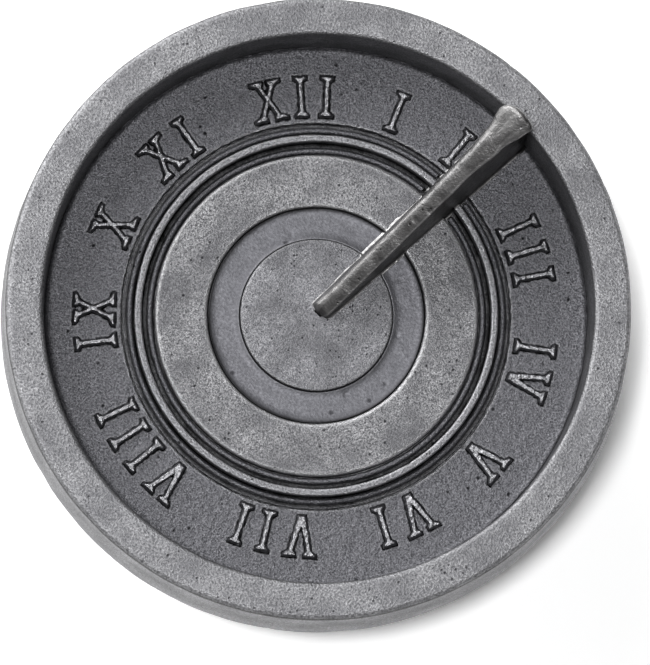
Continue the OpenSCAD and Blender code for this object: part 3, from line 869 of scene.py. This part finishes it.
# Where the chips can't reach beside a letter the floor stays low and black, with a
# slightly proud lip round it.
def moatTree(s):
    tree, given = newTree("moatRoundLetters", {
        "Geometry": "Geometry", "Letters": "Object", "Depth": "Float", "Width": "Float",
        "Lip": "Float"})
    normal = addNode(tree, "GeometryNodeInputNormal")
    shapes = addNode(tree, "GeometryNodeObjectInfo", {"Object": given["Letters"]})
    near = addNode(tree, "GeometryNodeProximity", {"Geometry": shapes.outputs["Geometry"]})
    share = addNode(tree, "ShaderNodeMath", {
        0: near.outputs["Distance"], 1: given["Width"]}, operation="DIVIDE")
    low = addNode(tree, "ShaderNodeMapRange", {
        "Value": share, "From Min": 0.0, "From Max": 1.0, "To Min": 1.0, "To Max": 0.0},
        interpolation_type="SMOOTHSTEP")
    lipStart, lipTop, lipEnd = s["lipRange"]
    rise = addNode(tree, "ShaderNodeMapRange", {
        "Value": share, "From Min": lipStart, "From Max": lipTop}, interpolation_type="SMOOTHSTEP")
    fall = addNode(tree, "ShaderNodeMapRange", {
        "Value": share, "From Min": lipTop, "From Max": lipEnd, "To Min": 1.0, "To Max": 0.0},
        interpolation_type="SMOOTHSTEP")
    proud = addNode(tree, "ShaderNodeMath", {0: rise, 1: fall}, operation="MULTIPLY")
    dug = addNode(tree, "ShaderNodeMath", {0: low, 1: given["Depth"]}, operation="MULTIPLY")
    raised = addNode(tree, "ShaderNodeMath", {0: proud, 1: given["Lip"]}, operation="MULTIPLY")
    change = addNode(tree, "ShaderNodeMath", {0: raised, 1: dug}, operation="SUBTRACT")
    upright = addNode(tree, "ShaderNodeSeparateXYZ", {0: normal})
    facing = addNode(tree, "ShaderNodeMath", {0: upright.outputs["Z"], 1: s["facing"]},
                     operation="GREATER_THAN")
    lift = addNode(tree, "ShaderNodeMath", {0: change, 1: facing}, operation="MULTIPLY")
    offset = addNode(tree, "ShaderNodeCombineXYZ", {"Z": lift})
    shape = addNode(tree, "GeometryNodeSetPosition", {
        "Geometry": given["Geometry"], "Offset": offset})
    faint = addNode(tree, "ShaderNodeMath", {0: proud, 1: s["lipWear"]}, operation="MULTIPLY")
    for name, amount in (("wear", faint), ("grime", low)):
        stored = addNode(tree, "GeometryNodeInputNamedAttribute", {"Name": name})
        top = addNode(tree, "ShaderNodeMath", {0: amount, 1: facing}, operation="MULTIPLY")
        more = addNode(tree, "ShaderNodeMath", {0: stored, 1: top}, operation="MAXIMUM")
        shape = addNode(tree, "GeometryNodeStoreNamedAttribute", {
            "Geometry": shape, "Name": name, "Value": more})
    return endTree(tree, shape, castings["hourFloor"])


def joinedCopy(meshes):
    bm = bmesh.new()
    for mesh in meshes:
        bm.from_mesh(mesh)
    return meshFrom(bm, "joined")


def hourRingMesh(s):
    low, high = level["floor"], level["hour"]
    inR, outR = radius["hourIn"], radius["hourOut"]
    outline = [(inR, low, s["hiddenStep"]), (outR, low)]
    outline += arc(outR - s["fillet"], high + s["fillet"], s["fillet"], 0, -90, 5)
    outline += arc(inR + s["innerEdge"], high - s["innerEdge"], s["innerEdge"], 90, 180, 4)
    worn = [(inR + s["innerEdge"] * 0.4, high - s["innerEdge"] * 0.3, s["innerEdge"] * 0.6)]
    mesh = slotted(turnedMesh(outline, s["segments"], s["step"], worn), radius["middleOut"], low)
    mesh = roughened(mesh, s["skin"], s["seed"])
    allLetters = newObject("allLetters", joinedCopy(numeralMeshes))
    mesh = runTree(moatTree(s), mesh, Letters=allLetters, Depth=s["moatDepth"],
                   Width=s["moatWidth"], Lip=s["lip"])
    bpy.data.objects.remove(allLetters)
    return tidyMesh(mesh)


addPiece("hourRing", hourRingMesh(hourRing), castings["hourFloor"], "dark_metal", "hour_ring")
for hour, mesh in enumerate(numeralMeshes, 1):
    addPiece("numeral%02d" % hour, mesh, castings["numeral"], "numeral_metal", "numeral_%d" % hour)

# The raised ring between its two grooves and the plates inside it are turned alike.
plateTurning = {
    "segments": 720, "step": 0.07, "hiddenStep": 0.4,
    "skin": {"wave": (0.8, 0.012), "dent": (0.4, 0.014)},
}


def plateMesh(s, outline, worn, grimyAndShaded, slotFrom, low, closed=True):  # its slot opens at slotFrom
    mesh = turnedMesh(outline, s["segments"], s["step"], worn, grimyAndShaded, closed)
    return tidyMesh(roughened(slotted(mesh, slotFrom, low), s["skin"], s["seed"]))


def roundedTop(inR, outR, high, edge, steps):  # a ring's top, from its outer edge to its inner
    return (arc(outR - edge, high - edge, edge, 0, 90, steps)
            + arc(inR + edge, high - edge, edge, 90, 180, steps))


moulding = {
    "grooveOut": 0.49, "raisedWidth": 0.3, "edge": 0.09,
    "grooveGrime": 0.3, "rubWidth": 0.55, "seed": 3, **plateTurning,
}


def mouldingMesh(s):
    low, web, high = level["floor"], level["web"], level["raised"]
    inR, outR = radius["middleOut"] + gap, radius["mouldingOut"]
    raisedOut = radius["hourIn"] - s["grooveOut"]
    raisedIn = raisedOut - s["raisedWidth"]
    edge = s["edge"]
    outline = [(inR, low), (outR, low), (outR, web), (raisedOut, web)]
    outline += roundedTop(raisedIn, raisedOut, high, edge, 5)
    outline += [(raisedIn, web), (inR, web)]
    grimyAndShaded = [(r, web, s["grooveGrime"]) for r in (
        raisedOut + s["grooveOut"] / 2, raisedIn - s["grooveOut"] / 2, raisedOut, raisedIn)]
    worn = [rubbedEdge(raisedIn, high, edge, 1, s["rubWidth"]),
            rubbedEdge(raisedOut, high, edge, -1, s["rubWidth"])]
    return plateMesh(s, outline, worn, grimyAndShaded, radius["hubOut"], low)


addPiece("mouldingRing", mouldingMesh(moulding), castings["moulding"], "moulding_metal",
         "moulding_ring")

middlePlate = {
    "edge": 0.16,
    "inGrime": (0.16, 0.08), "outGrime": (0.45, 0.26),  # how far below the top, and how wide
    "seed": 4, **plateTurning,
}


def middlePlateMesh(s):
    low, high, edge = level["floor"], level["middle"], s["edge"]
    inR, outR = radius["middleIn"], radius["middleOut"]
    outline = [(inR, low), (outR, low)] + roundedTop(inR, outR, high, edge, 4)
    worn = [rubbedEdge(inR, high, edge, 1), rubbedEdge(outR, high, edge, -1)]
    grimyAndShaded = [(r, high - below, wide)
             for r, (below, wide) in ((inR, s["inGrime"]), (outR, s["outGrime"]))]
    return plateMesh(s, outline, worn, grimyAndShaded, radius["disc"], low)


addPiece("middlePlate", middlePlateMesh(middlePlate), castings["plate"], "plate_metal",
         "middle_plate")

hubPlate = {
    "pinHead": 1.72, "overPin": 0.2,     # room for the pin's head underneath
    "hollow": 0.06, "hollowEdge": 0.33,  # depth, and the width over which it curves up
    "hollowSteps": (0, 0.15, 0.3, 0.45, 0.6, 0.8, 1),
    "discGroove": 0.02, "underDisc": 0.1, "outGrime": 0.13, "discGrime": 0.04,
    "lipWear": (0.05, 0.01, 0.035, 0.2),  # out from the disc, down, width and amount
    "seed": 5, **plateTurning,
}


def hubPlateMesh(s):
    low, high = level["floor"], level["hub"]
    inR, outR = radius["disc"], radius["hubOut"]
    coarse, wide, deep = s["hiddenStep"], s["hollowEdge"], s["hollow"]
    outline = [(0, high - s["overPin"]), (s["pinHead"], high - s["overPin"]),
               (s["pinHead"], low, coarse), (outR, low)]
    # the recess is a shallow hollow that curves up to the plate and to the disc
    rise = [(wide * t, high - deep * (1 - (1 - t) ** 2)) for t in s["hollowSteps"]]
    outline += [(outR - across, z) for across, z in rise]
    outline += [(inR + s["discGroove"] + across, z) for across, z in rise[::-1]]
    bed = high - deep - s["discGroove"]
    outline += [(inR, bed), (inR - s["underDisc"], bed, coarse), (0, bed)]
    grimyAndShaded = [(outR, high, s["outGrime"]), (inR, high - deep, s["discGrime"])]
    across, down, width, amount = s["lipWear"]
    worn = [(inR + across, high - down, width, amount)]
    return plateMesh(s, outline, worn, grimyAndShaded, fin["sunkFrom"] - gap, low, closed=False)


addPiece("hubPlate", hubPlateMesh(hubPlate), castings["recess"], "plate_metal", "hub_plate")

centreDisc = {
    "edge": 0.1, "footGap": 0.01, "edgeWear": 0.3,
    "edgeGrime": (0.08, 0.06),  # how far below the top, and how wide
    "seed": 6, **plateTurning,
}


def discMesh(s):
    low, high, r, edge = level["hub"], level["disc"], radius["disc"], s["edge"]
    outline = [(0, low, s["hiddenStep"]), (r - s["footGap"], low)]
    outline += arc(r - edge, high - edge, edge, 0, 90, 5)
    outline += [(0, high)]
    worn = [rubbedEdge(r, high, edge, -1, amount=s["edgeWear"])]
    grimyAndShaded = [(r, high - s["edgeGrime"][0], s["edgeGrime"][1])]
    slotFrom = fin["tipGap"] + fin["tipRound"]
    return plateMesh(s, outline, worn, grimyAndShaded, slotFrom, low, closed=False)


addPiece("centreDisc", discMesh(centreDisc), castings["disc"], "plate_metal", "centre_disc")

# A bead lies in each groove and ends in a small blob on both sides of the gnomon.
bead = {
    "width": 0.24, "swell": 0.03, "high": 0.34, "endGap": 0.8, "segments": 620, "sides": 14,
    "blob": 0.4,  # length; shape is the place along it, and the share of the full width
    "shape": [(0, 0.35), (0.12, 0.85), (0.3, 1), (0.42, 0.85), (0.52, 0.55), (0.62, 0.9), (1, 1)],
    "grime": 0.8, "grimeRange": (0.3, 0.8),  # of its height
    "skin": {"wave": (0.6, 0.012), "dent": (0.35, 0.015)},
}


def beadTree(s):
    tree, given = newTree("beadInGroove", {
        "Geometry": "Geometry", "Radius": "Float", "Start": "Float", "Sweep": "Float",
        "Width": "Float", "High": "Float", "Floor": "Float", "Segments": "Int", "Blob": "Float"})
    path = addNode(tree, "GeometryNodeCurveArc", {
        "Resolution": given["Segments"], "Radius": given["Radius"],
        "Start Angle": given["Start"], "Sweep Angle": given["Sweep"]})
    walked = addNode(tree, "GeometryNodeSplineParameter").outputs["Length"]
    total = addNode(tree, "GeometryNodeSplineLength")
    rest = addNode(tree, "ShaderNodeMath", {0: total, 1: walked}, operation="SUBTRACT")
    toEnd = addNode(tree, "ShaderNodeMath", {0: walked, 1: rest}, operation="MINIMUM")
    share = addNode(tree, "ShaderNodeMath", {
        0: toEnd, 1: given["Blob"]}, operation="DIVIDE", use_clamp=True)
    swell = addNode(tree, "ShaderNodeFloatCurve", {"Value": share})
    curve = swell.mapping.curves[0]
    curve.points[0].location = s["shape"][0]
    curve.points[1].location = s["shape"][-1]
    for spot in s["shape"][1:-1]:
        curve.points.new(*spot)
    swell.mapping.update()
    sized = addNode(tree, "GeometryNodeSetCurveRadius", {"Curve": path, "Radius": swell})
    half = addNode(tree, "ShaderNodeMath", {0: given["Width"], 1: 0.5}, operation="MULTIPLY")
    ring = addNode(tree, "GeometryNodeCurvePrimitiveCircle", {
        "Resolution": s["sides"], "Radius": half})
    taller = addNode(tree, "ShaderNodeMath", {
        0: given["High"], 1: given["Width"]}, operation="DIVIDE")
    stretch = addNode(tree, "ShaderNodeCombineXYZ", {"X": 1.0, "Y": taller, "Z": 1.0})
    oval = addNode(tree, "GeometryNodeTransform", {"Geometry": ring, "Scale": stretch})
    tube = addNode(tree, "GeometryNodeCurveToMesh", {
        "Curve": sized, "Profile Curve": oval, "Fill Caps": True})
    middle = addNode(tree, "ShaderNodeMath", {
        0: given["High"], 1: 0.5, 2: given["Floor"]}, operation="MULTIPLY_ADD")
    lift = addNode(tree, "ShaderNodeCombineXYZ", {"Z": middle})
    lifted = addNode(tree, "GeometryNodeTransform", {"Geometry": tube, "Translation": lift})
    return endTree(tree, lifted, castings["moulding"])


beadInGroove = beadTree(bead)


def beadMesh(s, outR, seed):
    r = outR - s["width"] / 2
    shy = math.asin(s["endGap"] / r)
    start = math.radians(fin["azimuth"]) + shy
    mesh = runTree(beadInGroove, bpy.data.meshes.new("empty"), Radius=r, Start=start,
                   Sweep=math.tau - 2 * shy, Width=s["width"] + s["swell"], High=s["high"],
                   Floor=level["web"], Segments=s["segments"], Blob=s["blob"])
    height = (getPoints(mesh)[:, 2] - level["web"]) / s["high"]
    setAttribute(mesh, "wear", np.zeros(len(height)))
    setAttribute(mesh, "grime", s["grime"] * (1 - smoothStep(*s["grimeRange"], height)))
    return tidyMesh(roughened(mesh, s["skin"], seed))


for name, node, seed in (("outerBead", "outer_bead", 7), ("innerBead", "inner_bead", 8)):
    addPiece(name, beadMesh(bead, radius[name], seed), castings["hourFloor"], "moulding_metal",
             node)


def dialHeight(x, y):  # the dial's surface at a point beside the fin
    r = math.hypot(x, y)
    raisedOut = radius["hourIn"] - moulding["grooveOut"]
    steps = [(radius["disc"], "hub"), (radius["middleIn"], "middle"), (radius["middleOut"], "web"),
             (raisedOut - moulding["raisedWidth"], "raised"), (raisedOut, "web"),
             (radius["hourIn"], "hour")]
    blend = fin["stepBlend"]
    z = level["disc"]
    for edge, beyond in steps:
        z += (level[beyond] - z) * float(smoothStep(edge - blend, edge + blend, r))
    f = hourRing["fillet"]
    into = r - (radius["hourOut"] - f)
    if into > 0:  # up the fillet at the wall
        z += f - math.sqrt(max(0, f * f - min(into, f) ** 2))
    return z


def eased(points, x):  # a chain of points, with its corners rounded off
    xs, ys = zip(*points)
    around = np.linspace(-fin["easing"], fin["easing"], fin["easingSteps"])
    return float(np.mean(np.interp(x + around, xs, ys)))


def flared(x):  # 0 along the style, and up to 1 in the head
    return float(smoothStep(*fin["flare"], x))


def topHeight(x):  # the style, its rounded end and the steep back of the head
    s = fin
    if x > s["headEnd"]:
        t = (x - s["headEnd"]) / (s["end"] - s["headEnd"])
        high = styleHeight(s["headEnd"]) - s["endRound"]
        return high + (level["rim"] + s["overRim"] - high) * t
    u = max(0, x - (s["headEnd"] - s["endRound"])) / s["endRound"]
    tipTo = s["tipGap"] + s["tipRound"]
    v = min(1, max(0, tipTo - x) / (tipTo - s["tipFoot"]))
    full = styleHeight(x) - s["endRound"] * (1 - math.sqrt(max(0, 1 - u * u)))
    rise, ease = s["tipPowers"]
    return level["disc"] + s["tipLift"] + (full - level["disc"]) * (1 - v ** rise) ** ease


def headHalf(x, side):  # half the width at the top; side 0 is the right one
    s = fin
    corner, power = s["corner"][side], s["cornerPower"][side]
    u = min(s["cornerStop"], max(0, x - (s["headEnd"] - corner)) / corner)
    r = s["tipRound"]
    nose = r - math.sqrt(max(0, r * r - max(0, r - max(0, x - s["tipGap"])) ** 2))
    lean = s["headLean"] * float(smoothStep(*s["leanRange"], x)) * (1, -1)[side]
    return (eased(s["topHalf"][side], x) - lean) * (1 - u ** power) ** (1 / power) + lean - nose


# One side of a cross-section, from below the dial up to the style: offset from the
# gnomon's middle plane, height, wear and grime at each point.
def finSide(x, side):
    s = fin
    top = topHeight(x)
    sign = (-1, 1)[side]
    half = headHalf(x, side)
    swell = flared(x)
    edge = min(s["edgeRound"][side] + s["headEdge"] * swell, half * 0.8)
    shoulder = s["shoulder"][side] * (1 - swell) + s["headShoulder"] * swell
    tall = min(edge * shoulder, (top - level["disc"]) * 0.6)
    bottom = level["floor"] if x > s["sunkFrom"] else level["hub"]
    ground = dialHeight(x, sign * (finHalf(x, level["hour"]) + s["fillet"] / 2))
    grown = float(smoothStep(s["tipFoot"] - 0.03, 0.2, x))
    f = min(s["fillet"], (top - ground) / 2.5) * grown
    shrink = min(0, half - s["width"] / 2) if x < 1 else 0  # the foot follows the rounded tip
    toe = finHalf(x, ground) + shrink + f
    dirt = s["dirt"][side]
    # the foot, which comes up through the dial and is black in the joint
    points = [(finHalf(x, bottom) + shrink, bottom, 0, 1), (toe - f - 0.002, ground - 0.06, 0, 1),
              (toe + 0.01, ground - 0.03, 0, 0.4)]
    # the fillet along the foot, with a painted highlight at its toe and painted shade above
    for i in range(s["filletSteps"] + 1):
        a = math.radians(90 * i / s["filletSteps"])
        points.append((toe - f * math.sin(a), ground + f - f * math.cos(a),
                       s["filletWear"] * math.cos(a) ** 2, dirt * math.sin(a)))
    # the side, which spreads outwards near its top where the head is wider than the style, and is
    # painted darker as shade
    low = top - s["flareDepth"]
    start, stop = ground + f, top - tall
    for i in range(1, s["sideSteps"] + 1):
        z = start + (stop - start) * i / s["sideSteps"]
        out = (half - s["width"] / 2 - shrink) * float(smoothStep(low, top - tall * 0.5, z))
        points.append((finHalf(x, z) + shrink + out, z, 0, dirt))
    # the rounded edge of the top: rubbed, and on the left with a painted highlight line
    step = points[-1][0] - half
    middle, wide = s["rubbedLine"]
    for i in range(1, s["edgeSteps"][side] + 1):
        turn = 90 * i / s["edgeSteps"][side]
        a = math.radians(turn)
        rubbed = s["rubbed"][side]
        if side == 1:
            rubbed *= math.exp(-((turn - middle) / wide) ** 2)
        rubbed = rubbed * (1 - swell) + s["headRubbed"] * swell
        points.append((half - edge + (edge + step) * math.cos(a), stop + tall * math.sin(a),
                       rubbed, 0))
    return [(sign * y, z, w, g) for y, z, w, g in points]


def finSection(x):  # both sides and the slightly crowned top between them
    s = fin
    right, left = finSide(x, 0), finSide(x, 1)
    y1, z1 = right[-1][:2]
    y2, z2 = left[-1][:2]
    across = []
    count = s["topSteps"]
    swell = flared(x)
    crown = min(s["crown"] * (1 + s["headCrown"] * swell), (topHeight(x) - level["disc"]) / 5)
    for i in range(1, count):
        t = i / count
        # painted highlights on the top: a line along the style's right edge, and the head lighter
        # towards the left
        style = s["topWear"] * math.exp(-t * count)
        head = s["headWear"][0] + (s["headWear"][1] - s["headWear"][0]) * t
        across.append((y1 + (y2 - y1) * t, z1 + (z2 - z1) * t + crown * (1 - (2 * t - 1) ** 2),
                       style * (1 - swell) + swell * head, 0))
    # painted shade, with oxide at the tip's joint: darker at the foot of the tip, and over the far
    # end past the rim, most of all to the right
    sootyAndShaded = 1 - float(smoothStep(s["tipFoot"], s["tipGap"] + 0.06, x))
    before, full = s["farDull"]
    farEnd = float(smoothStep(s["headEnd"] - before, s["headEnd"] - full, x))
    section = []
    for y, z, w, g in right + across + left[::-1]:
        leftwards = min(1, max(0, (y - y1) / (y2 - y1)))
        dull = max(sootyAndShaded, farEnd * (s["dull"][0] - s["dull"][1] * leftwards))
        section.append((y, z, w * (1 - dull), max(g, dull)))
    return section


def finPlaces(s):  # where the cross-sections stand, closer together at both ends
    headFrom = s["headEnd"] - s["endRound"]
    tipTo = s["tipGap"] + s["tipRound"]
    tip, end, back = s["tipSteps"], s["endSteps"], s["backSteps"]
    places = [s["tipFoot"] + (tipTo - s["tipFoot"]) * i / tip for i in range(tip)]
    count = round((headFrom - tipTo) / s["station"])
    places += [tipTo + (headFrom - tipTo) * i / count for i in range(count + 1)]
    places += [s["headEnd"] - s["endRound"] * math.cos(math.radians(90 * i / end))
               for i in range(1, end + 1)]
    places += [s["headEnd"] + (s["end"] - s["headEnd"]) * i / back for i in range(1, back + 1)]
    return places


def gnomonMesh(s):
    bm = bmesh.new()
    wear = bm.verts.layers.float.new("wear")
    grime = bm.verts.layers.float.new("grime")
    rings = []
    for x in finPlaces(s):
        ring = []
        for y, z, w, g in finSection(x):
            vert = bm.verts.new((x, y, z))
            vert[wear] = w
            vert[grime] = g
            ring.append(vert)
        rings.append(ring)
    closeRings(bm, rings)
    mesh = meshFrom(bm, "gnomon")
    mesh.transform(turnToFin)
    return tidyMesh(roughened(tidyMesh(mesh), s["skin"], s["seed"]))


addPiece("gnomonCasting", gnomonMesh(fin), castings["gnomon"], "gnomon_metal", "gnomon")

# The stud is one soft moulding round the pin; flange, neck and head are radii.
stud = {
    "flange": 6, "flangeThick": 0.8, "flangeEdge": 0.2, "neck": 3.6, "neckFillet": 0.45,
    "head": 5.6, "headThick": 2.6, "edge": 1.2, "lipEdge": 0.3,
    "pinHole": 1.02, "pinHead": 1.72, "pinDeep": 4.6, "pinHeadThick": 0.28,
    "segments": 256, "step": 0.2,
}


def studMesh(s):
    top = level["back"]
    under = top - s["flangeThick"]
    f, edge = s["neckFillet"], s["flangeEdge"]
    pocket = top - s["pinDeep"] - gap
    pocketTop = pocket + s["pinHeadThick"] + 2 * gap
    outline = [(0, pocket), (s["pinHead"], pocket), (s["pinHead"], pocketTop),
               (s["pinHole"], pocketTop), (s["pinHole"], top)]
    outline += arc(s["flange"] - edge, top - edge, edge, 90, 0, 4)
    outline += arc(s["flange"] - edge, under + edge, edge, 0, -90, 4)
    outline += arc(s["neck"] + f, under - f, f, 90, 180, 6)
    outline += arc(s["neck"] + f, s["headThick"] + f, f, 180, 270, 6)
    outline += arc(s["head"] - s["lipEdge"], s["headThick"] - s["lipEdge"], s["lipEdge"], 90, 0, 5)
    outline += arc(s["head"] - s["edge"], s["edge"], s["edge"], 0, -90, 10)
    outline += [(0, 0)]
    return turnedMesh(outline, s["segments"], s["step"], closed=False)


addPiece("pushInStud", studMesh(stud), softPvc, "stud_rubber", "stud")

studio = {
    "floorSize": 1200, "floorColour": "#f4f4f4",
    "seenGain": 1.2, "seenGlow": 0.05,  # how much whiter the camera sees the paper
    "worldColour": "#ffffff", "worldStrength": 0.09,
    # azimuth, elevation, distance, width, and the light that it gives the floor
    "lamps": {
        "overheadSoftbox": (216, 82, 403, 40, 0.66),
        "keySoftbox": (126, 36, 400, 300, 0.65),
        "sideSoftbox": (168, 19, 400, 200, 0.07),
        "fillSoftbox": (224, 35, 386, 230, 0.01),
        "cardSoftbox": (25, 38, 400, 240, 0.035),
    },
}


def paleFloor(s):
    material, tree = newMaterial("palePaper")
    path = addNode(tree, "ShaderNodeLightPath")
    seen = addNode(tree, "ShaderNodeMath", {
        0: path.outputs["Is Camera Ray"], 1: path.outputs["Is Glossy Ray"]}, operation="MAXIMUM")
    seenToo = addNode(tree, "ShaderNodeMath", {
        0: seen, 1: path.outputs["Is Transmission Ray"]}, operation="MAXIMUM")
    paper = addNode(tree, "ShaderNodeBsdfDiffuse", {"Color": linear(s["floorColour"])})
    whiter = addNode(tree, "ShaderNodeBsdfDiffuse", {"Color": (*[s["seenGain"]] * 3, 1)})
    glow = addNode(tree, "ShaderNodeEmission", {"Strength": s["seenGlow"]})
    bright = addNode(tree, "ShaderNodeAddShader", {0: whiter, 1: glow})
    either = addNode(tree, "ShaderNodeMixShader", {0: seenToo, 1: paper, 2: bright})
    addNode(tree, "ShaderNodeOutputMaterial", {"Surface": either})
    return material


def makeStudio(s):
    half = s["floorSize"] * mm / 2
    mesh = bpy.data.meshes.new("studioFloor")
    mesh.from_pydata([(-half, -half, 0), (half, -half, 0), (half, half, 0), (-half, half, 0)], [],
                     [(0, 1, 2, 3)])
    mesh.materials.append(paleFloor(s))
    newObject("studioFloor", mesh)
    world = bpy.data.worlds.new("softStudio")
    bpy.context.scene.world = world
    world.use_nodes = True
    background = world.node_tree.nodes["Background"]
    background.inputs["Color"].default_value = linear(s["worldColour"])
    background.inputs["Strength"].default_value = s["worldStrength"]
    target = Vector((0, 0, level["middle"]))
    for name, (azimuth, elevation, reach, width, share) in s["lamps"].items():
        up, turn = math.radians(elevation), math.radians(azimuth)
        way = Vector((math.cos(up) * math.cos(turn), math.cos(up) * math.sin(turn), math.sin(up)))
        data = bpy.data.lights.new(name, "AREA")
        data.size = width * mm
        data.energy = share * (math.pi * reach * mm) ** 2 / way.z
        lamp = newObject(name, data)
        lamp.location = (target + way * reach) * mm
        lamp.rotation_euler = way.to_track_quat("Z", "Y").to_euler()


makeStudio(studio)
bpy.context.scene.view_settings.view_transform = "Standard"
print("studio made")
